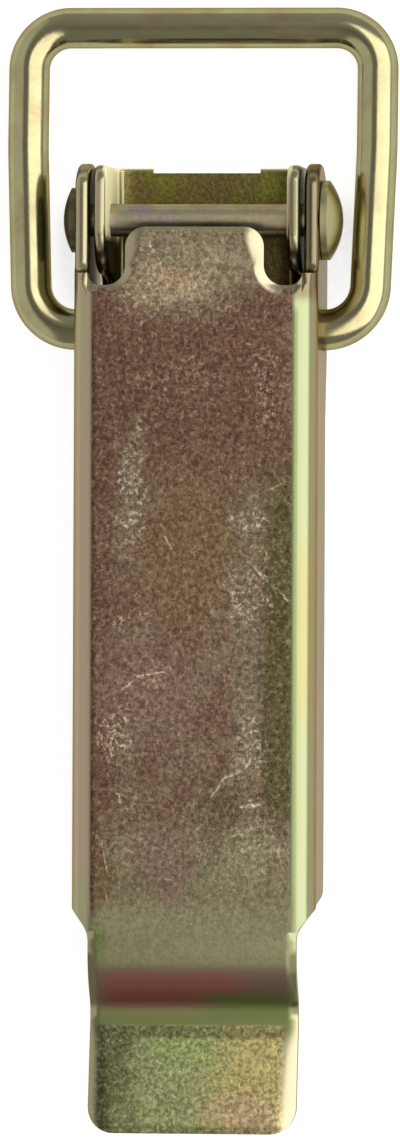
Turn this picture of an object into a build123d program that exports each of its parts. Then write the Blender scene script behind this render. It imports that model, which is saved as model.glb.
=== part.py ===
from build123d import *
import os
from math import atan2, cos, degrees, sin

# Over centre toggle latch, in millimetres.
# X runs across the latch, +Y towards the hooking bar of the bail, +Z away from the surface
# it is screwed to. The origin lies on that surface, straight below the rivet.

# pivot rivet
RIVET_SHANK = 4.0
RIVET_HEIGHT = 8.2               # axis above the mounting surface
RIVET_PLAY = 0.05                # shank in its holes, on the radius
HEAD_DIAMETER = 9.7
HEAD_HEIGHT = 2.4
HEAD_RIM = 0.8
TAIL_DIAMETER = 7.9
TAIL_HEIGHT = 1.8
TAIL_RIM = 0.8
HEAD_GAP = 0.1                   # heads to the ears of the lever

# lever: one pressed channel with two ears, a tongue and a finger tab
LEVER_SHEET = 1.8
LEVER_WIDTH = 29.8
LEVER_TOP = 16.2
LEVER_BEND = 1.1                 # inner radius of the two long bends
HANDLE_DEPTH = 13.0              # top face to the edges of the flanges along the handle
DEEP_END = 15.2                  # rivet to the end of the deeper flanges near the pivots
SHALLOW_START = 24.2             # rivet to the start of the shallower ones
FLANGE_STEP_ROUND = 8.0
EAR_RADIUS = 6.9                 # forward and below the rivet
EAR_TIP_ROUND = 1.8
EAR_ROOT_ROUND = 1.8             # between the ears and the place where the long bends begin
HANDLE_END = 86.5                # rivet to the end of the channel
FLANGE_END_LEAN = 1.2            # how far the flange ends lean, over their height
FLANGE_END_ROUND = 2.0
SHOULDER = 2.8                   # length of the slant from the flanges to the tab
SHOULDER_ROUND = 3.5

# tongue between the ears
TONGUE_WIDTH = 16.9
TONGUE_END = 1.0                 # rivet to the end of the tongue
TONGUE_ROUND = 2.5               # front corners
TONGUE_ROOT_ROUND = 2.4
NOTCH_DEPTH = 8.1                # rivet to the bottom of the two notches
NOTCH_ROUND = 1.5                # outer corners of the notches

# finger tab: the face dips, then rises again to the free end
TAB_WIDTH = 25.4
DIP_TOP = 5.27                   # end of the channel to the upper corner of the dip
DIP_RUN = 4.22                   # upper corner to lower corner, along Y
DIP_DROP = 3.68                  # upper corner to lower corner, along Z
DIP_CREST = 8.7                  # outer radius at the upper corner
DIP_VALLEY = 2.6                 # outer radius at the lower corner
PAD_RUN = 15.03
PAD_RISE = 3.56
TAB_ROUND = 3.2

# base bracket
BASE_SHEET = 1.6
BASE_BEND = 1.0
SIDE_GAP = 0.5                   # base bracket in lever, each side
BASE_FRONT = 6.6
BASE_LENGTH = 69.6
BASE_EAR_TOP = 13.8
BASE_EAR_REAR = 6.6              # rivet to the rear edges of the ears
BASE_EAR_FRONT_ROUND = 2.5
BASE_EAR_REAR_ROUND = 6.2
BASE_EAR_ROOT_ROUND = 3.0
BASE_WALL_TOP = 3.3
FRONT_RELIEF_WIDTH = 13.2
FRONT_RELIEF_DEPTH = 0.6
PLATE_ROUND = 3.0
SCREW_HOLE = 5.5
SCREW_SPACING_X = 14.0
SCREW_FRONT = 18.0               # rivet to the front pair of holes
SCREW_BACK = 9.0                 # rear pair of holes to the end of the plate

# wire bail
WIRE = 5.0
BAIL_PIVOT_BACK = 13.3           # rivet to bail pivot, along Y
BAIL_SEAT_GAP = 0.2              # wire above the side walls of the base when shut
BAIL_PLAY = 0.08                 # wire in the holes of the lever, on the radius
BAIL_REACH = 37.2               # pivot to the centre line of the bar
BAIL_WIDTH = 42.9                # between the centre lines of the limbs, near the bar
BAIL_PIVOT_WIDTH = 41.3
BAIL_LEAN_START = 15.0           # bar to the place where the limbs begin to close in
BAIL_LEAN_ROUND = 60.0
BAIL_ROUND = 5.1
BAIL_FOOT_ROUND = 5.6
BAIL_FOOT_END = 8.0              # middle of the latch to the ends of the wire
BAIL_SHIFT = 0.3                 # the bail sits to the left in its play

# edges left by the press tools
ROLL_WIDTH = 1.3
ROLL_DEPTH = 0.42
EDGE_ROUND = 0.5
WIRE_CHAMFER = 0.4

lever_half = LEVER_WIDTH / 2
lever_inner_half = lever_half - LEVER_SHEET
lever_outer_bend = LEVER_BEND + LEVER_SHEET
web_half = lever_half - lever_outer_bend
web_under = LEVER_TOP - LEVER_SHEET
bend_height = LEVER_TOP - lever_outer_bend
flange_bottom = LEVER_TOP - HANDLE_DEPTH
ear_root = NOTCH_DEPTH - NOTCH_ROUND
ear_bottom = RIVET_HEIGHT - EAR_RADIUS
tab_half = TAB_WIDTH / 2
tongue_half = TONGUE_WIDTH / 2
base_half = lever_inner_half - SIDE_GAP
bail_pivot_height = BASE_WALL_TOP + BAIL_SEAT_GAP + WIRE / 2
pivot_hole = RIVET_SHANK + 2 * RIVET_PLAY
bail_hole = WIRE + 2 * BAIL_PLAY
ABOVE = LEVER_TOP + 1.0          # clear of everything, for cutting outlines
BEYOND = 40.0


def rounded(outline, corners):
    """A face with the corners nearest to the given points rounded: (x, y, radius)."""
    for x, y, radius in corners:
        corner = min(outline.vertices(), key=lambda v: (v.X - x) ** 2 + (v.Y - y) ** 2)
        outline = fillet(corner, radius)
    return outline


def sideways(outline, inner, outer):
    """An outline drawn in (Y, Z) made solid from X = inner to X = outer."""
    return extrude(Plane.YZ.offset(inner) * outline, amount=outer - inner)


def upwards(outline, bottom, top):
    """An outline drawn in (X, Y) made solid from Z = bottom to Z = top."""
    return extrude(Plane.XY.offset(bottom) * outline, amount=top - bottom)


def backwards(outline, front, back):
    """A cross section drawn in (X, Z) made solid from Y = front back to Y = back."""
    plane = Plane(origin=(0, back, 0), x_dir=(-1, 0, 0), z_dir=(0, 1, 0))
    return extrude(plane * outline, amount=front - back)


def outline_of(*points):
    return make_face(Polyline(*points, close=True))


def cross_hole(diameter, y, z):
    return Pos(0, y, z) * Rot(0, 90, 0) * Cylinder(diameter / 2, 2 * BEYOND)


def channel(half, inner_half, outer_round, inner_round, back_face, under_face, edge):
    """Bent sheet in cross section: a flat back and two legs that end at Z = edge."""
    outer = outline_of((-half, edge), (half, edge), (half, back_face), (-half, back_face))
    outer = rounded(outer, [(-half, back_face, outer_round), (half, back_face, outer_round)])
    far = edge + 2 * (edge - back_face)
    inner = outline_of((-inner_half, far), (inner_half, far), (inner_half, under_face), (-inner_half, under_face))
    inner = rounded(inner, [(-inner_half, under_face, inner_round), (inner_half, under_face, inner_round)])
    return outer - inner


def lever_flanges():
    """Side view of the channel: ears in front, deep at the pivots, shallower handle."""
    tip = (EAR_RADIUS ** 2 - (bend_height - RIVET_HEIGHT) ** 2) ** 0.5
    flange_top_end = -HANDLE_END + SHOULDER
    body = outline_of(
        (0, ear_bottom), (-DEEP_END, ear_bottom), (-SHALLOW_START, flange_bottom),
        (flange_top_end + FLANGE_END_LEAN, flange_bottom), (flange_top_end, bend_height),
        (-HANDLE_END, LEVER_TOP), (-HANDLE_END, ABOVE), (-ear_root, ABOVE),
        (-ear_root, bend_height), (0, bend_height))
    body = rounded(body, [
        (-DEEP_END, ear_bottom, FLANGE_STEP_ROUND), (-SHALLOW_START, flange_bottom, FLANGE_STEP_ROUND),
        (flange_top_end + FLANGE_END_LEAN, flange_bottom, FLANGE_END_ROUND),
        (-ear_root, bend_height, EAR_ROOT_ROUND)])
    lobe = Pos(0, RIVET_HEIGHT) * Circle(EAR_RADIUS)
    lobe -= Pos(0, bend_height + EAR_RADIUS) * Rectangle(4 * EAR_RADIUS, 2 * EAR_RADIUS)
    lobe = rounded(lobe, [(tip, bend_height, EAR_TIP_ROUND)])
    lobe -= Pos(-EAR_RADIUS, RIVET_HEIGHT) * Rectangle(2 * EAR_RADIUS, 4 * EAR_RADIUS)
    return body + lobe


def lever_plan():
    """The channel and the tab seen from above."""
    end = -HANDLE_END - DIP_TOP - DIP_RUN - PAD_RUN
    plan = outline_of(
        (-lever_half, BEYOND), (-lever_half, -HANDLE_END + SHOULDER), (-tab_half, -HANDLE_END), (-tab_half, end),
        (tab_half, end), (tab_half, -HANDLE_END), (lever_half, -HANDLE_END + SHOULDER), (lever_half, BEYOND))
    return rounded(plan, [
        (-tab_half, -HANDLE_END, SHOULDER_ROUND), (tab_half, -HANDLE_END, SHOULDER_ROUND),
        (-tab_half, end, TAB_ROUND), (tab_half, end, TAB_ROUND)])


def lever_notches():
    """What the punch takes out in front of the web: all round the tongue."""
    cut = outline_of(
        (-lever_inner_half, BEYOND), (-lever_inner_half, -NOTCH_DEPTH), (-tongue_half, -NOTCH_DEPTH),
        (-tongue_half, -TONGUE_END), (tongue_half, -TONGUE_END), (tongue_half, -NOTCH_DEPTH),
        (lever_inner_half, -NOTCH_DEPTH), (lever_inner_half, BEYOND))
    corners = []
    for side in (-1, 1):
        corners.append((side * lever_inner_half, -NOTCH_DEPTH, NOTCH_ROUND))
        corners.append((side * tongue_half, -NOTCH_DEPTH, TONGUE_ROOT_ROUND))
        corners.append((side * tongue_half, -TONGUE_END, TONGUE_ROUND))
    return rounded(cut, corners)


def tab_profile():
    """Side view of the sheet from the end of the channel to the free end."""
    top = [
        (-HANDLE_END, LEVER_TOP),
        (-HANDLE_END - DIP_TOP, LEVER_TOP),
        (-HANDLE_END - DIP_TOP - DIP_RUN, LEVER_TOP - DIP_DROP),
        (-HANDLE_END - DIP_TOP - DIP_RUN - PAD_RUN, LEVER_TOP - DIP_DROP + PAD_RISE)]
    crest, valley = (atan2(top[i + 1][1] - top[i][1], top[i][0] - top[i + 1][0]) for i in (1, 2))
    drop = LEVER_SHEET
    half_turn = (crest + valley) / 2
    under = [
        (top[3][0] - drop * sin(valley), top[3][1] - drop * cos(valley)),
        (top[2][0] - drop * sin(half_turn) / cos((valley - crest) / 2),
         top[2][1] - drop * cos(half_turn) / cos((valley - crest) / 2)),
        (top[1][0] - drop * sin(crest / 2) / cos(crest / 2), top[1][1] - drop),
        (top[0][0], top[0][1] - drop)]
    profile = outline_of(*top, *under)
    return rounded(profile, [
        (*top[1], DIP_CREST), (*under[2], DIP_CREST - LEVER_SHEET),
        (*top[2], DIP_VALLEY), (*under[1], DIP_VALLEY + LEVER_SHEET)])


def rolled(solid, face, edges):
    """The outer edges of a punched sheet, pulled over by the punch."""
    return chamfer(edges, ROLL_WIDTH, ROLL_DEPTH, reference=face)


def make_tab():
    tab = sideways(tab_profile(), -lever_half, lever_half) & upwards(lever_plan(), -1, ABOVE)
    pad = max(tab.faces().filter_by(GeomType.PLANE), key=lambda f: f.normal_at().Z * f.area)
    return rolled(tab, pad, pad.edges().sort_by(Axis.Y)[0])


def punched_edges(solid, front_of, above):
    """Outline edges of the upright sides in front of one Y and above one Z, without the rivet holes."""
    chosen = []
    for edge in solid.edges():
        box = edge.bounding_box()
        middle = box.center()
        in_rivet_hole = abs(middle.Y) + abs(middle.Z - RIVET_HEIGHT) < 0.1
        if box.size.X < 0.01 and box.min.Y > front_of and middle.Z > above and not in_rivet_hole:
            chosen.append(edge)
    return chosen


def make_lever():
    plan = upwards(lever_plan(), -1, ABOVE)
    side = sideways(lever_flanges(), lever_inner_half, lever_half)
    side = fillet(punched_edges(side, -SHALLOW_START, 0), EDGE_ROUND)
    section = channel(lever_half, lever_inner_half, lever_outer_bend, LEVER_BEND, LEVER_TOP, web_under, 0)
    shell = backwards(section, EAR_RADIUS, -HANDLE_END)
    flanges = shell & (side + mirror(side, Plane.YZ))
    web_plan = Pos(0, -HANDLE_END / 2) * Rectangle(2 * lever_inner_half, HANDLE_END)
    behind_ears = HANDLE_END - ear_root
    web_plan += Pos(0, -ear_root - behind_ears / 2) * Rectangle(2 * lever_half, behind_ears)
    web = (shell & upwards(web_plan, bend_height, ABOVE)) - upwards(lever_notches(), 0, ABOVE)
    handle = ((flanges - upwards(lever_notches(), bend_height, ABOVE)) + web) & plan
    top = handle.faces().sort_by(Axis.Z)[-1]
    handle = rolled(handle, top, [e for e in top.edges() if e.center().Y > -NOTCH_DEPTH - 0.1])
    lever = handle + make_tab()
    lever -= cross_hole(pivot_hole, 0, RIVET_HEIGHT)
    lever -= cross_hole(bail_hole, -BAIL_PIVOT_BACK, bail_pivot_height)
    return lever


def make_base():
    section = channel(base_half, base_half - BASE_SHEET, BASE_BEND + BASE_SHEET, BASE_BEND, 0, BASE_SHEET, BASE_EAR_TOP)
    back = BASE_FRONT - BASE_LENGTH
    shell = backwards(section, BASE_FRONT, back)
    side = outline_of(
        (BASE_FRONT, -1), (BASE_FRONT, BASE_EAR_TOP), (-BASE_EAR_REAR, BASE_EAR_TOP),
        (-BASE_EAR_REAR, BASE_WALL_TOP), (back, BASE_WALL_TOP), (back, -1))
    side = rounded(side, [
        (BASE_FRONT, BASE_EAR_TOP, BASE_EAR_FRONT_ROUND), (-BASE_EAR_REAR, BASE_EAR_TOP, BASE_EAR_REAR_ROUND),
        (-BASE_EAR_REAR, BASE_WALL_TOP, BASE_EAR_ROOT_ROUND)])
    base = shell & sideways(side, -base_half, base_half)
    plan = Pos(0, BASE_FRONT - BASE_LENGTH / 2) * Rectangle(2 * base_half, BASE_LENGTH)
    plan = rounded(plan, [(-base_half, back, PLATE_ROUND), (base_half, back, PLATE_ROUND)])
    relief = Pos(0, BASE_FRONT) * Rectangle(FRONT_RELIEF_WIDTH, 2 * FRONT_RELIEF_DEPTH)
    base = (base & upwards(plan, -1, ABOVE)) - upwards(relief, -1, BASE_SHEET + 1)
    spacing = -SCREW_FRONT - (back + SCREW_BACK)
    middle = Pos(0, -SCREW_FRONT - spacing / 2, 0)
    base -= middle * GridLocations(SCREW_SPACING_X, spacing, 2, 2) * Cylinder(SCREW_HOLE / 2, 4 * BASE_SHEET)
    ears = punched_edges(base, -BASE_EAR_REAR - BASE_EAR_ROOT_ROUND - 0.1, BASE_WALL_TOP + 0.1)
    base = fillet(ears, EDGE_ROUND)
    return base - cross_hole(RIVET_SHANK, 0, RIVET_HEIGHT)


def make_bail():
    """Round wire bent to a closed bar, two limbs and two inward feet."""
    bar = BAIL_WIDTH / 2
    pivot = BAIL_PIVOT_WIDTH / 2
    lean_start = BAIL_REACH - BAIL_LEAN_START
    right = [(BAIL_FOOT_END, 0), (pivot, 0), (bar, lean_start), (bar, BAIL_REACH)]
    left = [(-x, y) for x, y in reversed(right)]
    radii = [BAIL_FOOT_ROUND, BAIL_LEAN_ROUND, BAIL_ROUND, BAIL_ROUND, BAIL_LEAN_ROUND, BAIL_FOOT_ROUND]
    slope = degrees(atan2(bail_pivot_height - WIRE / 2, BAIL_REACH))
    centre_line = FilletPolyline(*right, *left, radius=radii)
    plane = Plane(origin=(-BAIL_SHIFT, -BAIL_PIVOT_BACK, bail_pivot_height)).rotated((-slope, 0, 0))
    centre_line = plane * centre_line
    start = Plane(origin=centre_line @ 0, z_dir=centre_line % 0)
    bail = sweep(start * Circle(WIRE / 2), path=centre_line)
    ends = bail.faces().filter_by(GeomType.PLANE)
    return chamfer(ends.edges(), WIRE_CHAMFER)


def head_blank(diameter, rim, height):
    """A head that stands on Z = 0: a short straight rim under a low dome."""
    rise = height - rim
    dome_radius = ((diameter / 2) ** 2 + rise ** 2) / (2 * rise)
    blank = Pos(0, 0, height / 2) * Cylinder(diameter / 2, height)
    return blank & Pos(0, 0, height - dome_radius) * Sphere(dome_radius)


def make_rivet():
    reach = lever_half + HEAD_GAP
    shank = Rot(0, 90, 0) * Cylinder(RIVET_SHANK / 2, 2 * reach)
    head = Pos(reach, 0, 0) * Rot(0, 90, 0) * head_blank(HEAD_DIAMETER, HEAD_RIM, HEAD_HEIGHT)
    tail = Pos(-reach, 0, 0) * Rot(0, -90, 0) * head_blank(TAIL_DIAMETER, TAIL_RIM, TAIL_HEIGHT)
    return Pos(0, 0, RIVET_HEIGHT) * (shank + head + tail)


os.makedirs("parts", exist_ok=True)
export_step(make_base(), "parts/base_bracket.step")
export_step(make_rivet(), "parts/pivot_rivet.step")
export_step(make_lever(), "parts/lever.step")
export_step(make_bail(), "parts/bail.step")
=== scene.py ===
import math

import bmesh
import bpy
from mathutils import Matrix, Vector


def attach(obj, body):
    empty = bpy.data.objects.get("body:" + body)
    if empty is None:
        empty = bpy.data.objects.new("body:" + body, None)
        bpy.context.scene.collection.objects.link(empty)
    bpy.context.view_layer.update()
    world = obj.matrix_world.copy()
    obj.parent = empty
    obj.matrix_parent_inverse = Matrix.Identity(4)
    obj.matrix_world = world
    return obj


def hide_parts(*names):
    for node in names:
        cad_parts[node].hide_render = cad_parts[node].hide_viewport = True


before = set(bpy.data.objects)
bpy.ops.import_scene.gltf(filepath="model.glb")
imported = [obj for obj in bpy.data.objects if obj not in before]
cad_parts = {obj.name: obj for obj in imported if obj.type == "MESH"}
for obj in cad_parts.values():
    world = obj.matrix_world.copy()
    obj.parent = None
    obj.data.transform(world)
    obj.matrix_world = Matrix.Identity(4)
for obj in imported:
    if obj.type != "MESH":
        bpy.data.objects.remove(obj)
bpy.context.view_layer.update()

bl_info = {
    "name": "Over centre toggle latch",
    "version": (1, 0, 0),
    "blender": (4, 5, 0),
    "location": "View3D > Sidebar > Latch",
    "description": "Finishes of a zinc plated, yellow passivated toggle latch, with its stage",
    "category": "Object",
}

MM = 0.001
WELD = 0.0005 * MM
SHARP_EDGE = math.radians(32)

# Plated metal seen almost along its face keeps some of its colour instead of going white
GRAZING_TINT = "#c0b69c"
# Roughness: smooth from the press tool, the flats of the lever, of the base, the base's ears inside
BURNISHED, BLASTED, BASE_BLASTED, EARS_INSIDE = 0.26, 0.42, 0.4, 0.75
# Height of the bumps of the blasted grain, and the noise values where it is darkest and lightest
GRAIN_HEIGHT = 0.045 * MM
GRAIN_DARK, GRAIN_LIGHT = 0.34, 0.66
# Upward share of a face's normal from which it starts to count as level, and from which it does
LEVEL_FROM, LEVEL_FULL, BASE_LEVEL_FULL = 0.955, 0.98, 0.99

# Places on the latch in millimetres, X to the right of its middle line and Y ahead of the rivet.
# A band of film that runs off a piece ends at a round number well past its edge.
# The handle's flat face, the starts of the dip and of the finger pad, the middles of the ears' edges:
WEB_LEFT, WEB_RIGHT = -12.6, 12.1
DIP_START, PAD_START = -91.4, -98.2
LEVER_EAR, BASE_EAR = 14.0, 11.8

# Rubbed places on the handle: middle, half sizes, strength
SCUFFS = (
    ((-7.5, -33), (2, 9), 0.7),
    ((6.5, -46), (3.2, 5.5), 0.6),
    ((7.4, -37), (2, 3), 0.8),
    ((-9.2, -62), (2.8, 4), 0.7),
    ((-8, -48.6), (5, 0.9), 0.7),
    ((8.3, -42.5), (1.8, 2.5), 0.5),
    ((-8, -72), (1.5, 3.5), 0.5),
    ((7.8, -71.3), (1.3, 0.6), 0.9),
    ((5, -56), (1.5, 7), 0.35),
    ((7, -64), (2.5, 5), 0.6),
    ((-2, -20), (8, 5), 0.3),
    ((-6.5, -55.5), (4.5, 1), 0.4),
    ((9, -20), (3, 6), 0.4),
    ((-4, -8), (9, 6), 0.5),
    ((8, -76), (3, 6), 0.5),
)
# How rubbed the handle is everywhere else
WORN_ALL_OVER = 0.16

# Lines scored in the handle: start, end, width
SCORES = (
    ((6.6, -41.5), (11.5, -46.2), 0.2),
    ((6.5, -62.4), (7.9, -60.0), 0.16),
    ((0.8, -71.6), (4.2, -67.6), 0.16),
    ((4.2, -67.6), (6.3, -67.0), 0.25),
    ((6.3, -67.0), (7.0, -65.4), 0.2),
    ((5.8, -71.3), (8.2, -71.2), 0.25),
    ((-8.6, -57.2), (-6.1, -55.4), 0.1),
    ((-6.1, -55.4), (-3.4, -55), 0.11),
    ((-3.4, -55), (0.4, -56.8), 0.1),
    ((6.8, -34.8), (11.7, -31.5), 0.12),
    ((-3.5, -38.5), (-2.2, -40.5), 0.16),
    ((-10.8, -75.5), (-10.4, -79.5), 0.14),
)


def linear(code):
    """An sRGB hex colour as linear RGBA."""
    channels = [int(code[i:i + 2], 16) / 255 for i in (1, 3, 5)]
    return [c / 12.92 if c <= 0.04045 else ((c + 0.055) / 1.055) ** 2.4 for c in channels] + [1.0]


def add(tree, kind, inputs=None, **settings):
    """Adds a node with its settings. An input takes a node, a socket, a value or an sRGB hex code."""
    node = tree.nodes.new(kind)
    for name, value in settings.items():
        setattr(node, name, value)
    for key, value in (inputs or {}).items():
        if isinstance(value, bpy.types.Node):
            value = value.outputs[0]
        if isinstance(value, bpy.types.NodeSocket):
            tree.links.new(value, node.inputs[key])
        elif isinstance(value, str) and value.startswith("#"):
            node.inputs[key].default_value = linear(value)
        else:
            node.inputs[key].default_value = value
    return node


def between(tree, value, low, high, soft):
    """1 where value lies from low to high, fading out over soft beyond both."""
    rise = add(tree, "ShaderNodeMapRange", {0: value, 1: low - soft, 2: low},
               interpolation_type="SMOOTHSTEP")
    fall = add(tree, "ShaderNodeMapRange", {0: value, 1: high + soft, 2: high},
               interpolation_type="SMOOTHSTEP")
    return add(tree, "ShaderNodeMath", {0: rise, 1: fall}, operation="MULTIPLY")


def overlap(tree, masks):
    """1 where all the masks are 1."""
    share = masks[0]
    for mask in masks[1:]:
        share = add(tree, "ShaderNodeMath", {0: share, 1: mask}, operation="MULTIPLY")
    return share


def paint(tree, below, layers):
    """Lays colours over one another. A layer is a colour and masks; it covers where all its masks are 1."""
    for colour, *masks in layers:
        share = overlap(tree, masks)
        below = add(tree, "ShaderNodeMix", {0: share, 6: below, 7: colour}, data_type="RGBA").outputs[2]
    return below


def patch(tree, place, middle, size, strength):
    """A soft oval patch: its middle and half sizes are millimetres on the face.

    It is full to 0.3 of its half sizes and gone at 1.3 of them.
    """
    full, gone = 0.3, 1.3
    offset = add(tree, "ShaderNodeVectorMath", {0: place, 1: (*middle, 0)}, operation="SUBTRACT")
    share = add(tree, "ShaderNodeVectorMath", {0: offset, 1: (1 / size[0], 1 / size[1], 0)},
                operation="MULTIPLY")
    radius = add(tree, "ShaderNodeVectorMath", {0: share}, operation="LENGTH")
    return add(tree, "ShaderNodeMapRange", {0: radius.outputs["Value"], 1: gone, 2: full, 4: strength},
               interpolation_type="SMOOTHSTEP")


def scratch(tree, place, start, end, width):
    """A line scored from start to end; all are millimetres on the face."""
    core = 0.3 * width
    along = Vector((*end, 0)) - Vector((*start, 0))
    offset = add(tree, "ShaderNodeVectorMath", {0: place, 1: (*start, 0)}, operation="SUBTRACT")
    share = add(tree, "ShaderNodeVectorMath", {0: offset, 1: along / along.length_squared},
                operation="DOT_PRODUCT")
    share = add(tree, "ShaderNodeClamp", {0: share.outputs["Value"]})
    nearest = add(tree, "ShaderNodeVectorMath", {0: along, "Scale": share}, operation="SCALE")
    gap = add(tree, "ShaderNodeVectorMath", {0: offset, 1: nearest}, operation="DISTANCE")
    return add(tree, "ShaderNodeMapRange", {0: gap.outputs["Value"], 1: width, 2: core})


def strongest(tree, masks, least):
    """The highest of the masks, and least where all are lower."""
    highest = least
    for mask in masks:
        highest = add(tree, "ShaderNodeMath", {0: mask, 1: highest}, operation="MAXIMUM")
    return highest


def new_material(name):
    """A metal material with the place on the piece in millimetres and the way its surface faces."""
    material = bpy.data.materials.new(name)
    material.use_nodes = True
    tree = material.node_tree
    tree.nodes.clear()
    source = add(tree, "ShaderNodeTexCoord")
    place = add(tree, "ShaderNodeVectorMath", {0: source.outputs["Object"], 1: 3 * (1 / MM,)},
                operation="MULTIPLY")
    shader = add(tree, "ShaderNodeBsdfPrincipled", {"Metallic": 1.0, "Specular Tint": GRAZING_TINT})
    add(tree, "ShaderNodeOutputMaterial", {"Surface": shader})
    return material, tree, place, source.outputs["Normal"], shader


def speckled(tree, place, shader, colour, blasted, size, depth, roughness, crown=0.0):
    """Finishes a plated piece: where blasted is 1 with the grain of the blasting, elsewhere plain.

    size is the grain's in millimetres. It is drawn at about 0.5, coarser than blasting leaves it,
    because a finer grain wouldn't show. depth is how far the grain lightens and darkens the film.
    crown is a height in millimetres that rounds narrow edges.
    """
    grain = add(tree, "ShaderNodeTexNoise", {
        "Vector": place, "Scale": 1 / size, "Detail": 2.0, "Roughness": 0.65})
    level = add(tree, "ShaderNodeMapRange", {
        0: grain, 1: GRAIN_DARK, 2: GRAIN_LIGHT, 3: 1 - depth, 4: 1 + depth})
    level = add(tree, "ShaderNodeMix", {0: blasted, 2: 1.0, 3: level})
    colour = add(tree, "ShaderNodeVectorMath", {0: colour, "Scale": level}, operation="SCALE")
    bump = add(tree, "ShaderNodeBump", {"Height": grain, "Strength": blasted, "Distance": GRAIN_HEIGHT})
    bump = add(tree, "ShaderNodeBump", {"Height": crown, "Distance": 1 * MM, "Normal": bump})
    tree.links.new(colour.outputs[0], shader.inputs["Base Color"])
    tree.links.new(roughness.outputs[0], shader.inputs["Roughness"])
    tree.links.new(bump.outputs[0], shader.inputs["Normal"])


def edge_crown(tree, x, middle, half, slope):
    """The rounded profile of a sheet seen on edge: highest at middle, sloping by slope at half from it."""
    side = add(tree, "ShaderNodeMath", {0: x}, operation="ABSOLUTE")
    offset = add(tree, "ShaderNodeMath", {0: side, 1: middle}, operation="SUBTRACT")
    offset = add(tree, "ShaderNodeClamp", {0: offset, 1: -half, 2: half})
    drop = add(tree, "ShaderNodeMath", {0: offset, 1: offset}, operation="MULTIPLY")
    return add(tree, "ShaderNodeMath", {0: drop, 1: -slope / (2 * half)}, operation="MULTIPLY")


def web_film_and_shade(tree, finish, x, y, across, flat, ragged):
    """The film on the handle's face: red brown, with amber, mauve, grey and olive clouds, and painted
    shade.
    """
    cloud = add(tree, "ShaderNodeTexNoise", {
        "Vector": flat, "Scale": 1 / 4.5, "Detail": 4.0, "Roughness": 0.65})
    mottled = add(tree, "ShaderNodeMapRange", {0: cloud, 1: 0.4, 2: 0.62, 4: 0.8})
    olive_side = between(tree, x, 9.6, 13, 2.4)
    return paint(tree, finish.web, [
        (finish.web_red, mottled),
        (finish.web_red, between(tree, y, -26, -14, 12), between(tree, x, -12, 9, 5), 0.85),
        (finish.web_red, between(tree, x, -12, -10.5, 2.5), 0.7),
        (finish.web_amber, patch(tree, ragged, (-0.5, -41), (7, 11), 0.7)),
        (finish.web_mauve, patch(tree, ragged, (-6, -57), (8, 8), 0.7)),
        (finish.web_grey, patch(tree, ragged, (6.9, -57), (3, 26), 0.8)),
        (finish.web_olive, olive_side, between(tree, y, -69, -36, 10)),
        (finish.web_olive, patch(tree, ragged, (3.6, -72), (3.6, 5), 0.75)),
        (finish.web_red, patch(tree, ragged, (-5, -69), (4.5, 5), 0.3)),
        (finish.web_grey, patch(tree, ragged, (-7.5, -33), (2.2, 9), 0.7)),
        (finish.web_grey, patch(tree, ragged, (7.4, -37), (2.6, 4), 0.8)),
        (finish.web_low, between(tree, y, -92, -87, 18)),
        (finish.web_mauve, patch(tree, ragged, (-3.5, -78.5), (4, 5), 0.8)),
        (finish.web_low, patch(tree, ragged, (6, -79), (5, 5), 0.85)),
        (finish.web_amber, patch(tree, ragged, (-11.5, -80), (2, 5), 0.8)),
        (finish.web_tongue, patch(tree, ragged, (-1.5, -4), (11, 8), 0.85)),
        (finish.web_high, patch(tree, ragged, (-2.6, -8.0), (6, 2.8), 0.65)),
        # Painted shade: a patch by the right notch, and a line where the left hand bend begins
        (finish.web_dark, patch(tree, ragged, (9, -8.8), (3.4, 2.6), 0.6)),
        (finish.web_dark, between(tree, across, -0.2, -0.03, 0.04), between(tree, y, -100, -14, 2)),
    ])


def rubbed(tree, finish, web, pits, flat, ragged, shaken, flecks):
    """The handle's film with its wear: rubbed specks, curled hairlines and scored lines."""
    worn = strongest(tree, [patch(tree, ragged, *scuff) for scuff in SCUFFS], WORN_ALL_OVER)
    scored = strongest(tree, [scratch(tree, shaken, *score) for score in SCORES], 0.0)
    broken = add(tree, "ShaderNodeMapRange", {0: pits, 1: 0.4, 2: 0.6, 3: 0.15, 4: 0.85})
    # Hairlines run where a coarse noise crosses its middle value
    curls = add(tree, "ShaderNodeTexNoise", {
        "Vector": flat, "Scale": 1 / 3.5, "Detail": 1.0, "Distortion": 1.5})
    curls = add(tree, "ShaderNodeMath", {0: curls, 1: 0.5}, operation="SUBTRACT")
    curls = add(tree, "ShaderNodeMath", {0: curls}, operation="ABSOLUTE")
    curls = add(tree, "ShaderNodeMapRange", {0: curls, 1: 0.012, 2: 0.003})
    return paint(tree, web, [
        (finish.worn, worn, flecks), (finish.worn, curls, broken, worn), (finish.worn, scored, broken)])


def dip_film_and_reflection(tree, finish, x, y):
    """The film in the dip behind the handle: brown, then red, then green lines across it; partly painted
    reflection.
    """
    return paint(tree, finish.dip_olive, [
        (finish.dip_brown, between(tree, y, -95.2, -80, 1.0)),
        (finish.dip_red, between(tree, y, -95.0, -92.2, 1.1), between(tree, x, -9.4, 20, 2.2),
         between(tree, x, -30, 2.5, 7)),
        (finish.dip_green, between(tree, x, 4.5, 30, 6), between(tree, y, -97, -94.6, 0.9)),
        (finish.dip_green, between(tree, y, -98.4, -97.0, 0.5), 0.7),
    ])


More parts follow.
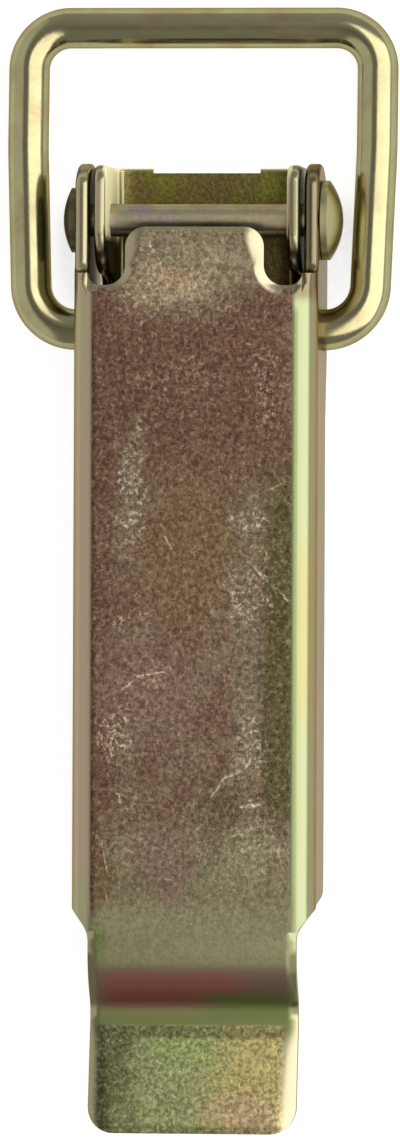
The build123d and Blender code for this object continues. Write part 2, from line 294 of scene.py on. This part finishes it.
def pad_film_and_shade(tree, finish, x, y, shaken_y, ragged, flecks):
    """The film on the finger pad: green to the left, warm to the right, painted shade along its rims and
    crease.
    """
    return paint(tree, finish.pad, [
        (finish.pad_warm, between(tree, x, 7, 14, 9)),
        (finish.pad_pink, patch(tree, ragged, (6.5, -109), (6, 3.2), 0.8)),
        (finish.pad_green, patch(tree, ragged, (-0.5, -100.3), (5.5, 2.6), 0.8)),
        # Painted shade: the pad's left side, the crease where it starts, its left rim and its end
        (finish.pad_dark, patch(tree, ragged, (-11, -104), (4.5, 9), 0.75)),
        (finish.pad_dark, between(tree, shaken_y, -99.3, PAD_START, 0.5), 0.6),
        (finish.pad_dark, between(tree, x, -11.6, -10.9, 0.4), 0.8),
        (finish.pad_dark, between(tree, y, -112, -110.3, 0.5), 0.5),
        (finish.worn, flecks, 0.25),
    ])


def bend_film_and_light(tree, finish, place, x, y, across, upright):
    """The film on the lever's bends, ears and sides, which the press tool left smooth, partly painted
    light.
    """
    right = add(tree, "ShaderNodeMapRange", {0: across, 1: 0.0, 2: 0.1}, interpolation_type="SMOOTHSTEP")
    steep = add(tree, "ShaderNodeMapRange", {0: across, 1: 0.75, 2: 0.95},
                interpolation_type="SMOOTHSTEP")
    sides = add(tree, "ShaderNodeMapRange", {0: upright, 1: 0.5, 2: 0.2})
    film = add(tree, "ShaderNodeTexNoise", {"Vector": place, "Scale": 1 / 9.0, "Detail": 4.0})
    film = add(tree, "ShaderNodeMapRange", {0: film, 1: 0.42, 2: 0.62})
    return paint(tree, finish.bend_left, [
        (finish.bend_olive, between(tree, y, -120, -82, 6)),
        (finish.bend_olive, between(tree, y, -20, 20, 10), 0.7),
        (finish.web_olive, between(tree, y, -95.2, -89.6, 1.0), 0.8),
        # Bends turned to the right take their own colour, partly film and partly painted light
        (finish.bend_right, right),
        (finish.bend_yellow, right, between(tree, y, -57, -43, 8), 0.7),
        # Partly painted reflection where the right hand bend begins
        (finish.bend_green, between(tree, across, 0.02, 0.18, 0.12), between(tree, y, -98, -12, 2)),
        # Painted highlight on the finger pad's right hand rim
        (finish.pad_rim, right, between(tree, y, -130, -98, 2)),
        # Painted shade: dark lines on the right hand edges in the dip
        (finish.pad_dark, right, between(tree, y, -91.6, -89.4, 1.2), 0.85),
        (finish.pad_dark, right, between(tree, y, -96.2, -95.3, 0.7), 0.75),
        # Painted highlight on the tongue's right hand rim
        (finish.pad_rim, right, between(tree, y, -8.5, 20, 2), between(tree, x, -11, 11, 1)),
        # Painted shade on the lever's ears beside the rivet head
        (finish.ear_right, between(tree, y, -9, 20, 1.5), between(tree, x, 12.4, 20, 0.4)),
        (finish.flange, steep),
        (finish.flange_olive, sides, film, 0.5),
    ])


def lever_finish(finish):
    """Blasted steel sheet, zinc plated and yellow passivated.

    The film on the zinc runs from red brown through olive to pale green. Some colours are painted light:
    highlights on right hand rims, shade at dark edges and beside the rivet head, reflections in the dip.
    The flats keep the matt grain of the blasting. The press tool burnished the bends; the dip is matt,
    without the grain.
    """
    material, tree, place, normal, shader = new_material("lever_yellow_passivated_zinc")
    axes = add(tree, "ShaderNodeSeparateXYZ", {0: place})
    x, y = axes.outputs[0], axes.outputs[1]
    facing = add(tree, "ShaderNodeSeparateXYZ", {0: normal})
    across = facing.outputs[0]
    upright = add(tree, "ShaderNodeMath", {0: facing.outputs[2]}, operation="ABSOLUTE")
    level = overlap(tree, [
        add(tree, "ShaderNodeMapRange", {0: upright, 1: LEVEL_FROM, 2: LEVEL_FULL}),
        between(tree, across, -0.11, 0.0, 0.05)])

    # Two maps of the faces that noise pulls about: ragged for the edges of clouds, shaken for lines
    flat = add(tree, "ShaderNodeCombineXYZ", {0: x, 1: y})
    wander = add(tree, "ShaderNodeTexNoise", {"Vector": flat, "Scale": 1 / 3.0, "Detail": 3.0})
    wander = add(tree, "ShaderNodeVectorMath", {0: wander.outputs["Color"], 1: (0.5, 0.5, 0.5)},
                 operation="SUBTRACT")
    drift = add(tree, "ShaderNodeVectorMath", {0: wander, "Scale": 8.0}, operation="SCALE")
    ragged = add(tree, "ShaderNodeVectorMath", {0: flat, 1: drift})
    quiver = add(tree, "ShaderNodeVectorMath", {0: wander, "Scale": 1.2}, operation="SCALE")
    shaken = add(tree, "ShaderNodeVectorMath", {0: flat, 1: quiver})
    shaken_axes = add(tree, "ShaderNodeSeparateXYZ", {0: shaken})
    shaken_x, shaken_y = shaken_axes.outputs[0], shaken_axes.outputs[1]

    # Masks: the pad, the handle's web, the places between the bends, the blasted faces
    on_pad = [between(tree, y, -130, PAD_START, 0.5), between(tree, x, -11.2, 10.4, 1.2)]
    on_web = [level, between(tree, y, -88, 5, 6), between(tree, x, WEB_LEFT, WEB_RIGHT, 0.1)]
    lean = add(tree, "ShaderNodeMath", {0: across}, operation="ABSOLUTE")
    slope = add(tree, "ShaderNodeMath", {0: 1.0, 1: lean}, operation="SUBTRACT")
    slope = add(tree, "ShaderNodeMapRange", {0: slope, 1: 0.7, 2: 0.9})
    fading = add(tree, "ShaderNodeMapRange", {0: y, 1: -96, 2: -76, 4: 1.0})
    blasted = add(tree, "ShaderNodeMath", {
        0: overlap(tree, [level, fading, between(tree, x, -12.4, 12.4, 0.3)]), 1: overlap(tree, on_pad)},
        operation="MAXIMUM")

    pits = add(tree, "ShaderNodeTexNoise", {
        "Vector": flat, "Scale": 1 / 0.6, "Detail": 3.0, "Roughness": 0.75, "Distortion": 0.6})
    flecks = add(tree, "ShaderNodeMapRange", {0: pits, 1: 0.5, 2: 0.66})
    web = web_film_and_shade(tree, finish, x, y, across, flat, ragged)
    web = rubbed(tree, finish, web, pits, flat, ragged, shaken, flecks)
    colour = paint(tree, bend_film_and_light(tree, finish, place, x, y, across, upright), [
        (web, *on_web),
        (finish.web_low, slope, between(tree, y, PAD_START, -86, 3)),
        # The dip's red and green bands are partly film and partly painted reflection
        (finish.dip_green, slope, patch(tree, shaken, (-11.7, -88), (1.4, 3.2), 0.8)),
        (dip_film_and_reflection(tree, finish, shaken_x, shaken_y), slope, between(tree, y, PAD_START, DIP_START, 1.4)),
        (pad_film_and_shade(tree, finish, x, y, shaken_y, ragged, flecks), *on_pad),
    ])
    matt = add(tree, "ShaderNodeMath", {
        0: overlap(tree, [slope, between(tree, y, -98, -84, 4)]), 1: blasted}, operation="MAXIMUM")
    roughness = add(tree, "ShaderNodeMapRange", {0: matt, 3: BURNISHED, 4: BLASTED})
    on_ears = add(tree, "ShaderNodeMapRange", {0: y, 1: -10.5, 2: -8.0})
    crown = overlap(tree, [edge_crown(tree, x, LEVER_EAR, half=0.9, slope=0.55), on_ears])
    speckled(tree, place, shader, colour, blasted, finish.grain, 0.4, roughness, crown)
    return material


def base_finish(finish):
    """The same plating on the base bracket: an olive floor and paler ears, dull on their inner faces."""
    material, tree, place, normal, shader = new_material("base_yellow_passivated_zinc")
    axes = add(tree, "ShaderNodeSeparateXYZ", {0: place})
    x, y, z = axes.outputs[0], axes.outputs[1], axes.outputs[2]
    facing = add(tree, "ShaderNodeSeparateXYZ", {0: normal})
    upright = add(tree, "ShaderNodeMath", {0: facing.outputs[2]}, operation="ABSOLUTE")
    level = add(tree, "ShaderNodeMapRange", {0: upright, 1: LEVEL_FROM, 2: BASE_LEVEL_FULL},
                interpolation_type="SMOOTHSTEP")
    steep = add(tree, "ShaderNodeMapRange", {0: upright, 1: 0.9, 2: 0.6})
    right = add(tree, "ShaderNodeMapRange", {0: facing.outputs[0], 1: -0.3, 2: 0.3})
    on_ears = add(tree, "ShaderNodeMapRange", {0: z, 1: 2.0, 2: 4.0})
    on_floor = add(tree, "ShaderNodeMapRange", {0: z, 1: 4.0, 2: 2.0})
    wall = overlap(tree, [steep, between(tree, x, -11.5, 11.5, 0.2), between(tree, y, -1.5, 20, 2)])
    cloud = add(tree, "ShaderNodeTexNoise", {"Vector": place, "Scale": 1 / 5.0, "Detail": 3.0})
    tint = add(tree, "ShaderNodeMapRange", {0: cloud, 1: 0.4, 2: 0.6})
    colour = paint(tree, finish.bend_left, [
        # Faces turned to the right take their own colour, partly film and partly painted light
        (finish.bend_right, right),
        (finish.base_olive, level),
        (finish.base_brown, level, tint),
        # Painted shade: the floor turns brown further back, under the lever
        (finish.base_brown, level, between(tree, y, -90, -2, 3)),
        (finish.base_ear, level, on_ears),
        # Painted light: the ears' inner faces are painted near white for the light they catch
        (finish.base_wall, wall),
        # Painted shade on the base's ear beside the rivet head
        (finish.ear_right, level, on_ears, between(tree, x, 10.5, 20, 0.4), 0.85),
    ])
    roughness = add(tree, "ShaderNodeMapRange", {0: level, 3: BURNISHED, 4: BASE_BLASTED})
    roughness = add(tree, "ShaderNodeMath", {0: roughness, 1: overlap(tree, [wall, EARS_INSIDE])},
                    operation="MAXIMUM")

    # The floor sweeps up into the ears at its corners, and the ears' edges are rounded
    corner = add(tree, "ShaderNodeMath", {0: x}, operation="ABSOLUTE")
    corner = add(tree, "ShaderNodeMapRange", {0: corner, 1: 8.8, 2: 11.0})
    corner = overlap(tree, [corner, corner, on_floor, 0.3])
    crown = overlap(tree, [edge_crown(tree, x, BASE_EAR, half=0.8, slope=0.5), on_ears])
    crown = add(tree, "ShaderNodeMath", {0: crown, 1: corner}, operation="ADD")
    blasted = overlap(tree, [level, on_floor])
    speckled(tree, place, shader, colour, blasted, finish.grain, 0.25, roughness, crown)
    return material


def wire_finish(finish):
    """Drawn steel wire, zinc plated and yellow passivated: smooth, bright and faintly clouded."""
    material, tree, place, _, shader = new_material("wire_yellow_passivated_zinc")
    cloud = add(tree, "ShaderNodeTexNoise", {"Vector": place, "Scale": 1 / 4.0, "Detail": 3.0})
    tint = add(tree, "ShaderNodeMapRange", {0: cloud, 1: 0.4, 2: 0.7})
    colour = paint(tree, finish.wire, [(finish.wire_warm, tint)])
    roughness = add(tree, "ShaderNodeMapRange", {0: tint, 3: 0.17, 4: 0.22})
    faint = add(tree, "ShaderNodeMapRange", {0: tint, 3: 0.05, 4: 0.25})
    speckled(tree, place, shader, colour, faint, 0.5, 0.3, roughness)
    return material


def rivet_finish(finish):
    """Cold formed rivet with the same plating: grey olive shank and head, dark peened tail."""
    material, tree, place, _, shader = new_material("rivet_yellow_passivated_zinc")
    x = add(tree, "ShaderNodeSeparateXYZ", {0: place}).outputs[0]
    cloud = add(tree, "ShaderNodeTexNoise", {"Vector": place, "Scale": 1 / 2.5, "Detail": 3.0})
    tint = add(tree, "ShaderNodeMapRange", {0: cloud, 1: 0.4, 2: 0.6})
    colour = paint(tree, finish.shank, [
        (finish.shank_warm, tint),
        (finish.shank_violet, between(tree, x, -10, -4, 3), tint, 0.6),
        (finish.rivet_head, between(tree, x, 14.8, 30, 0.1)),
        (finish.rivet_tail, between(tree, x, -30, -14.8, 0.1)),
    ])
    roughness = add(tree, "ShaderNodeMapRange", {0: tint, 3: 0.3, 4: 0.38})
    faint = add(tree, "ShaderNodeMapRange", {0: tint, 3: 0.1, 4: 0.4})
    speckled(tree, place, shader, colour, faint, 0.4, 0.3, roughness)
    return material


def softened(name):
    """A smooth copy of a solid: bends and rolled edges are shaded round, punched edges stay sharp."""
    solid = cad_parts[name]
    mesh = bpy.data.meshes.new(name + "_sheet")
    shape = bmesh.new()
    shape.from_mesh(solid.data)
    bmesh.ops.remove_doubles(shape, verts=shape.verts, dist=WELD)
    bmesh.ops.dissolve_degenerate(shape, edges=shape.edges, dist=WELD)
    for edge in shape.edges:
        edge.smooth = edge.is_manifold and edge.calc_face_angle() < SHARP_EDGE
    for face in shape.faces:
        face.smooth = True
    shape.to_mesh(mesh)
    shape.free()

    # The solid's own shading comes along as an attribute and would outweigh the new one
    shading = mesh.attributes.get("custom_normal")
    if shading:
        mesh.attributes.remove(shading)
    piece = bpy.data.objects.new(name + "_sheet", mesh)
    bpy.context.scene.collection.objects.link(piece)
    weigh = piece.modifiers.new("even_shading", "WEIGHTED_NORMAL")
    weigh.keep_sharp = True
    weigh.weight = 50
    finished = bpy.data.meshes.new_from_object(piece.evaluated_get(bpy.context.evaluated_depsgraph_get()))
    piece.modifiers.clear()
    piece.data = finished
    bpy.data.meshes.remove(mesh)
    finished.materials.clear()
    return piece


COLOURS = (
    ("web", "Face of the handle", "#766451"),
    ("web_red", "Red brown film on the handle", "#614537"),
    ("web_amber", "Amber film on the handle", "#6f5739"),
    ("web_mauve", "Mauve film on the handle", "#7a6155"),
    ("web_grey", "Grey film on the handle", "#756855"),
    ("web_olive", "Olive film on the handle", "#524d2f"),
    ("web_low", "Film next to the dip", "#7e7a5c"),
    ("web_high", "Film on the tongue", "#9f866a"),
    ("web_tongue", "Grey green film on the tongue", "#7b7158"),
    ("web_dark", "Dark line beside the left hand bend", "#5a4131"),
    ("worn", "Rubbed spots and scratches", "#cdbfa2"),
    # The bends' left and right hand colours differ partly as painted light
    ("bend_left", "Left hand bends", "#a38e79"),
    ("bend_olive", "Left hand bends at both ends of the lever", "#999272"),
    ("bend_green", "Green film where the right hand bend begins", "#6e7650"),
    ("bend_yellow", "Yellower stretch of the right hand bend", "#93895c"),
    ("bend_right", "Right hand bends", "#898d6a"),
    ("flange_olive", "Olive film on the sides of the handle", "#84845c"),
    ("flange", "Right hand side of the handle", "#9a8468"),
    ("dip_red", "Red film in the dip", "#8c584d"),
    ("dip_brown", "Brown film in the dip", "#756451"),
    ("dip_olive", "Olive film in the dip", "#76704c"),
    ("dip_green", "Green line at the foot of the dip", "#667043"),
    ("pad", "Finger pad", "#7f8458"),
    ("pad_warm", "Warm side of the finger pad", "#9c905b"),
    ("pad_pink", "Pink film on the finger pad", "#a18a68"),
    ("pad_green", "Green film on the finger pad", "#7f8e54"),
    ("pad_rim", "Right hand rims of the finger pad and the tongue", "#a89c80"),
    ("pad_dark", "Dark film at the rims of the finger pad and the dip", "#45432a"),
    ("base_olive", "Base bracket", "#67662c"),
    ("base_brown", "Brown film on the base bracket", "#5f5230"),
    ("base_ear", "Ears of the base bracket", "#a0987a"),
    ("base_wall", "Inner faces of the base ears", "#f2ecc0"),
    ("ear_right", "Film on the ears beside the rivet head", "#736a51"),
    ("wire", "Wire", "#9e9b75"),
    ("wire_warm", "Warm film on the wire", "#968a67"),
    ("shank", "Rivet shank", "#a39c7c"),
    ("shank_warm", "Warm film on the shank", "#a08f72"),
    ("shank_violet", "Violet film on the shank", "#918990"),
    ("rivet_head", "Rivet head", "#a09a74"),
    ("rivet_tail", "Peened end of the rivet", "#57553f"),
)


class LatchFinish(bpy.types.PropertyGroup):
    grain: bpy.props.FloatProperty(
        name="Grain", description="Size of the speckles that the blasting leaves, in millimetres",
        default=0.5)
    __annotations__.update({
        key: bpy.props.FloatVectorProperty(
            name=label, description="Colour of the " + label[0].lower() + label[1:],
            subtype="COLOR", size=4, min=0, max=1, default=linear(code))
        for key, label, code in COLOURS})


class LatchWire(bpy.types.PropertyGroup):
    diameter: bpy.props.FloatProperty(
        name="Wire", description="Thickness of the wire", default=5.0 * MM, unit="LENGTH")
    pivot_back: bpy.props.FloatProperty(
        name="Pivot back", description="Rivet to the pivot of the bail", default=13.3 * MM, unit="LENGTH")
    pivot_height: bpy.props.FloatProperty(
        name="Pivot height", description="Mounting surface to the pivot of the bail", default=6.0 * MM,
        unit="LENGTH")
    reach: bpy.props.FloatProperty(
        name="Reach", description="Pivot to the middle of the bar", default=37.2 * MM, unit="LENGTH")
    width: bpy.props.FloatProperty(
        name="Width", description="Between the middles of the limbs at the bar", default=42.9 * MM,
        unit="LENGTH")
    pivot_width: bpy.props.FloatProperty(
        name="Width at pivot", description="Between the middles of the limbs at the pivot",
        default=41.3 * MM, unit="LENGTH")
    lean_start: bpy.props.FloatProperty(
        name="Straight part", description="Bar to the place where the limbs close in", default=15.0 * MM,
        unit="LENGTH")
    foot_end: bpy.props.FloatProperty(
        name="Foot", description="Middle of the latch to the ends of the wire", default=8.0 * MM,
        unit="LENGTH")
    foot_bend: bpy.props.FloatProperty(
        name="Foot bend", description="Radius of the bends into the feet", default=5.6 * MM, unit="LENGTH")
    limb_bend: bpy.props.FloatProperty(
        name="Limb bend", description="Radius of the slight bends in the limbs", default=60 * MM,
        unit="LENGTH")
    bar_bend: bpy.props.FloatProperty(
        name="Bar bend", description="Radius of the bends beside the bar", default=5.1 * MM, unit="LENGTH")
    shift: bpy.props.FloatProperty(
        name="Shift", description="How far the bail sits to the left in its play", default=0.3 * MM,
        unit="LENGTH")
    sides: bpy.props.IntProperty(name="Sides", description="Steps round the wire", default=64)
    bend_steps: bpy.props.IntProperty(name="Bend steps", description="Steps in each bend", default=24)


class LatchStage(bpy.types.PropertyGroup):
    view_tilt: bpy.props.FloatProperty(
        name="View tilt", description="Angle of the camera from straight above, to the right",
        default=math.radians(6.0), subtype="ANGLE")
    view_lean: bpy.props.FloatProperty(
        name="View lean", description="Turn of the camera about its own axis", default=math.radians(0.24),
        subtype="ANGLE")
    distance: bpy.props.FloatProperty(
        name="Distance", description="Camera to latch", default=1.3, unit="LENGTH")
    frame_height: bpy.props.FloatProperty(
        name="Frame height", description="Length that the image shows from top to bottom",
        default=139.27 * MM, unit="LENGTH", precision=5)


class LATCH_OT_lever(bpy.types.Operator):
    """Finishes the lever"""

    bl_idname = "latch.lever"
    bl_label = "Lever"

    def execute(self, context):
        piece = softened("lever")
        piece.data.materials.append(lever_finish(context.scene.latch_finish))
        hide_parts("lever")
        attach(piece, "lever")
        return {"FINISHED"}


class LATCH_OT_base(bpy.types.Operator):
    """Finishes the base bracket"""

    bl_idname = "latch.base"
    bl_label = "Base bracket"

    def execute(self, context):
        piece = softened("base_bracket")
        piece.data.materials.append(base_finish(context.scene.latch_finish))
        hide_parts("base_bracket")
        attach(piece, "base")
        return {"FINISHED"}


class LATCH_OT_rivet(bpy.types.Operator):
    """Finishes the pivot rivet"""

    bl_idname = "latch.rivet"
    bl_label = "Pivot rivet"

    def execute(self, context):
        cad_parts["pivot_rivet"].data.materials[0] = rivet_finish(context.scene.latch_finish)
        return {"FINISHED"}


def wire_along_path(material):
    """Node tree: rounds the corners of a path and runs round wire along it."""
    tree = bpy.data.node_groups.new("wire_along_path", "GeometryNodeTree")
    tree.interface.new_socket("Path", in_out="INPUT", socket_type="NodeSocketGeometry")
    tree.interface.new_socket("Wire radius", in_out="INPUT", socket_type="NodeSocketFloat")
    tree.interface.new_socket("Steps round the wire", in_out="INPUT", socket_type="NodeSocketInt")
    tree.interface.new_socket("Steps in a bend", in_out="INPUT", socket_type="NodeSocketInt")
    tree.interface.new_socket("Wire", in_out="OUTPUT", socket_type="NodeSocketGeometry")
    start = add(tree, "NodeGroupInput")
    bend = add(tree, "GeometryNodeInputNamedAttribute", {"Name": "bend"}, data_type="FLOAT")
    path = add(tree, "GeometryNodeMeshToCurve", {"Mesh": start.outputs["Path"]})
    path = add(tree, "GeometryNodeFilletCurve", {
        "Curve": path, "Radius": bend, "Count": start.outputs["Steps in a bend"]}, mode="POLY")
    section = add(tree, "GeometryNodeCurvePrimitiveCircle", {
        "Radius": start.outputs["Wire radius"], "Resolution": start.outputs["Steps round the wire"]})
    wire = add(tree, "GeometryNodeCurveToMesh", {
        "Curve": path, "Profile Curve": section, "Fill Caps": True})
    wire = add(tree, "GeometryNodeSetShadeSmooth", {"Geometry": wire, "Shade Smooth": True})
    wire = add(tree, "GeometryNodeRealizeInstances", {"Geometry": wire})
    wire = add(tree, "GeometryNodeSetMaterial", {"Geometry": wire, "Material": material})
    add(tree, "NodeGroupOutput", {"Wire": wire})
    return tree


class LATCH_OT_bail(bpy.types.Operator):
    """Bends the wire bail and finishes it"""

    bl_idname = "latch.bail"
    bl_label = "Bail"

    def execute(self, context):
        sizes = context.scene.latch_wire
        bar, pivot = sizes.width / 2, sizes.pivot_width / 2

        # Corners of the right half of the wire, lying flat: across, ahead of its pivot, bend radius
        right = [
            (sizes.foot_end, 0, 0),
            (pivot, 0, sizes.foot_bend),
            (bar, sizes.reach - sizes.lean_start, sizes.limb_bend),
            (bar, sizes.reach, sizes.bar_bend),
        ]
        corners = right + [(-x, y, bend) for x, y, bend in reversed(right)]

        # The bail slopes down from its pivot until the bar rests on the mounting surface
        slope = math.atan2(sizes.pivot_height - sizes.diameter / 2, sizes.reach)
        points = [
            (x - sizes.shift,
             y * math.cos(slope) - sizes.pivot_back,
             sizes.pivot_height - y * math.sin(slope))
            for x, y, bend in corners]
        path = bpy.data.meshes.new("bail_path")
        path.from_pydata(points, [(i, i + 1) for i in range(len(points) - 1)], [])
        bends = path.attributes.new("bend", "FLOAT", "POINT")
        bends.data.foreach_set("value", [bend for x, y, bend in corners])

        source = bpy.data.objects.new("bail_path", path)
        context.scene.collection.objects.link(source)
        wires = source.modifiers.new("wire", "NODES")
        wires.node_group = wire_along_path(wire_finish(context.scene.latch_finish))
        values = {
            "Wire radius": sizes.diameter / 2,
            "Steps round the wire": sizes.sides,
            "Steps in a bend": sizes.bend_steps,
        }
        for item in wires.node_group.interface.items_tree:
            if item.name in values:
                wires[item.identifier] = values[item.name]
        mesh = bpy.data.meshes.new_from_object(source.evaluated_get(context.evaluated_depsgraph_get()))
        bpy.data.objects.remove(source)
        piece = bpy.data.objects.new("bail_wire", mesh)
        context.scene.collection.objects.link(piece)
        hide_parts("bail")
        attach(piece, "bail")
        return {"FINISHED"}


def white_paper():
    """Paper that glows over a grey of its own, so that it shows plain white and keeps the shadow.

    It glows in reflections too. Seen directly, the glow fades where the latch closes the paper in,
    which keeps the slits between its ears dark. From below the paper can't be seen.
    """
    glow, shading_reach = 0.85, 20 * MM
    closed_in, in_the_open = 0.02, 0.09
    paper = bpy.data.materials.new("white_paper")
    paper.use_nodes = True
    tree = paper.node_tree
    tree.nodes.clear()
    rays = add(tree, "ShaderNodeLightPath")
    nearby = add(tree, "ShaderNodeAmbientOcclusion", {"Distance": shading_reach}, samples=8)
    open_floor = add(tree, "ShaderNodeMapRange", {0: nearby.outputs["AO"], 1: closed_in, 2: in_the_open})
    seen = overlap(tree, [rays.outputs["Is Camera Ray"], open_floor])
    for ray in ("Is Glossy Ray", "Is Transmission Ray"):
        seen = add(tree, "ShaderNodeMath", {0: seen, 1: rays.outputs[ray]}, operation="MAXIMUM")
    light = add(tree, "ShaderNodeEmission", {"Strength": overlap(tree, [seen, glow])})
    matt = add(tree, "ShaderNodeBsdfDiffuse", {"Color": "#8c8c8c"})
    sheet = add(tree, "ShaderNodeAddShader", {0: matt, 1: light})
    below = add(tree, "ShaderNodeNewGeometry").outputs["Backfacing"]
    clear = add(tree, "ShaderNodeBsdfTransparent")
    surface = add(tree, "ShaderNodeMixShader", {0: below, 1: sheet, 2: clear})
    add(tree, "ShaderNodeOutputMaterial", {"Surface": surface})
    return paper


def studio():
    """The room round the latch: dark overhead, brightest to the left, then right, ahead and behind."""
    left_wall, right_wall, ahead_wall, behind_gain, overhead = 0.95, 0.6, 0.55, 0.2, 0.2
    world = bpy.data.worlds.new("studio")
    world.use_nodes = True
    tree = world.node_tree
    tree.nodes.clear()
    direction = add(tree, "ShaderNodeTexCoord").outputs["Generated"]
    axes = add(tree, "ShaderNodeSeparateXYZ", {0: direction})
    across, along = axes.outputs[0], axes.outputs[1]
    ahead = add(tree, "ShaderNodeMapRange", {0: along, 1: 0.0, 2: 1.0, 3: overhead, 4: ahead_wall})
    behind = add(tree, "ShaderNodeMapRange", {0: along, 1: 0.0, 2: -1.0, 3: 0.0, 4: behind_gain})
    middle = add(tree, "ShaderNodeMath", {0: ahead, 1: behind}, operation="ADD")
    left = add(tree, "ShaderNodeMapRange", {0: across, 1: -0.38, 2: -0.52, 3: middle, 4: left_wall},
               interpolation_type="SMOOTHSTEP")
    strength = add(tree, "ShaderNodeMapRange", {0: across, 1: 0.6, 2: 0.95, 3: left, 4: right_wall})
    background = add(tree, "ShaderNodeBackground", {"Color": "#ffffff", "Strength": strength})
    add(tree, "ShaderNodeOutputWorld", {"Surface": background})
    return world


def soft_box(name, tilt, distance, spread, length, radiance):
    """A soft box above the latch, tilted to the right. Its face has the given radiance.

    spread is half the angle that its width takes up, seen from the latch; length is along the latch.
    """
    latch_middle = Vector((0, -42 * MM, 8 * MM))
    width = 2 * distance * math.tan(spread)
    data = bpy.data.lights.new(name, "AREA")
    data.shape = "RECTANGLE"
    data.size = width
    data.size_y = length
    data.energy = radiance * math.pi * width * length
    lamp = bpy.data.objects.new(name, data)
    away = Vector((math.sin(tilt), 0, math.cos(tilt)))
    lamp.matrix_world = Matrix.Translation(latch_middle + away * distance) @ Matrix.Rotation(tilt, 4, "Y")
    lamp.visible_camera = False
    bpy.context.scene.collection.objects.link(lamp)


def camera_above(stage):
    """The camera: far off and nearly overhead, framed by the length that the image shows."""
    sensor = 36
    aim = Vector((0.03 * MM, -42.76 * MM, 8 * MM))
    data = bpy.data.cameras.new("camera")
    data.sensor_fit = "VERTICAL"
    data.sensor_height = sensor
    data.lens = sensor * stage.distance / stage.frame_height
    data.clip_start = 0.1
    data.clip_end = 20
    camera = bpy.data.objects.new("camera", data)
    away = Vector((math.sin(stage.view_tilt), 0, math.cos(stage.view_tilt)))
    turn = Matrix.Rotation(stage.view_tilt, 4, "Y") @ Matrix.Rotation(stage.view_lean, 4, "Z")
    camera.matrix_world = Matrix.Translation(aim + away * stage.distance) @ turn
    return camera


class LATCH_OT_stage(bpy.types.Operator):
    """Makes the floor, the lights and the camera"""

    bl_idname = "latch.stage"
    bl_label = "Stage"

    def execute(self, context):
        scene = context.scene

        # The paper lies a hair below the mounting surface, so that the two don't flicker
        side, low = 3.0, -0.02 * MM
        corners = [(-side, -side, low), (side, -side, low), (side, side, low), (-side, side, low)]
        floor_mesh = bpy.data.meshes.new("floor")
        floor_mesh.from_pydata(corners, [], [(0, 1, 2, 3)])
        floor_mesh.materials.append(white_paper())
        floor = bpy.data.objects.new("floor", floor_mesh)
        scene.collection.objects.link(floor)

        scene.world = studio()
        soft_box("soft_box_right", tilt=math.radians(41), distance=1.2, spread=math.radians(38),
                 length=2.2, radiance=2.8)
        scene.camera = camera_above(scene.latch_stage)
        scene.collection.objects.link(scene.camera)
        scene.view_settings.view_transform = "Standard"
        return {"FINISHED"}


class LATCH_PT_panel(bpy.types.Panel):
    """Lists the latch's pieces and its stage"""

    bl_label = "Toggle latch"
    bl_space_type = "VIEW_3D"
    bl_region_type = "UI"
    bl_category = "Latch"

    def draw(self, context):
        for operator in OPERATORS:
            self.layout.operator(operator.bl_idname)


GROUPS = (("latch_finish", LatchFinish), ("latch_wire", LatchWire), ("latch_stage", LatchStage))
OPERATORS = (LATCH_OT_lever, LATCH_OT_base, LATCH_OT_rivet, LATCH_OT_bail, LATCH_OT_stage)


def register():
    for name, group in GROUPS:
        bpy.utils.register_class(group)
        setattr(bpy.types.Scene, name, bpy.props.PointerProperty(type=group))
    for each in OPERATORS + (LATCH_PT_panel,):
        bpy.utils.register_class(each)


def unregister():
    for each in reversed(OPERATORS + (LATCH_PT_panel,)):
        bpy.utils.unregister_class(each)
    for name, group in reversed(GROUPS):
        delattr(bpy.types.Scene, name)
        bpy.utils.unregister_class(group)


def main():
    register()
    bpy.ops.latch.lever()
    bpy.ops.latch.base()
    bpy.ops.latch.rivet()
    bpy.ops.latch.bail()
    bpy.ops.latch.stage()


if __name__ == "__main__":
    main()
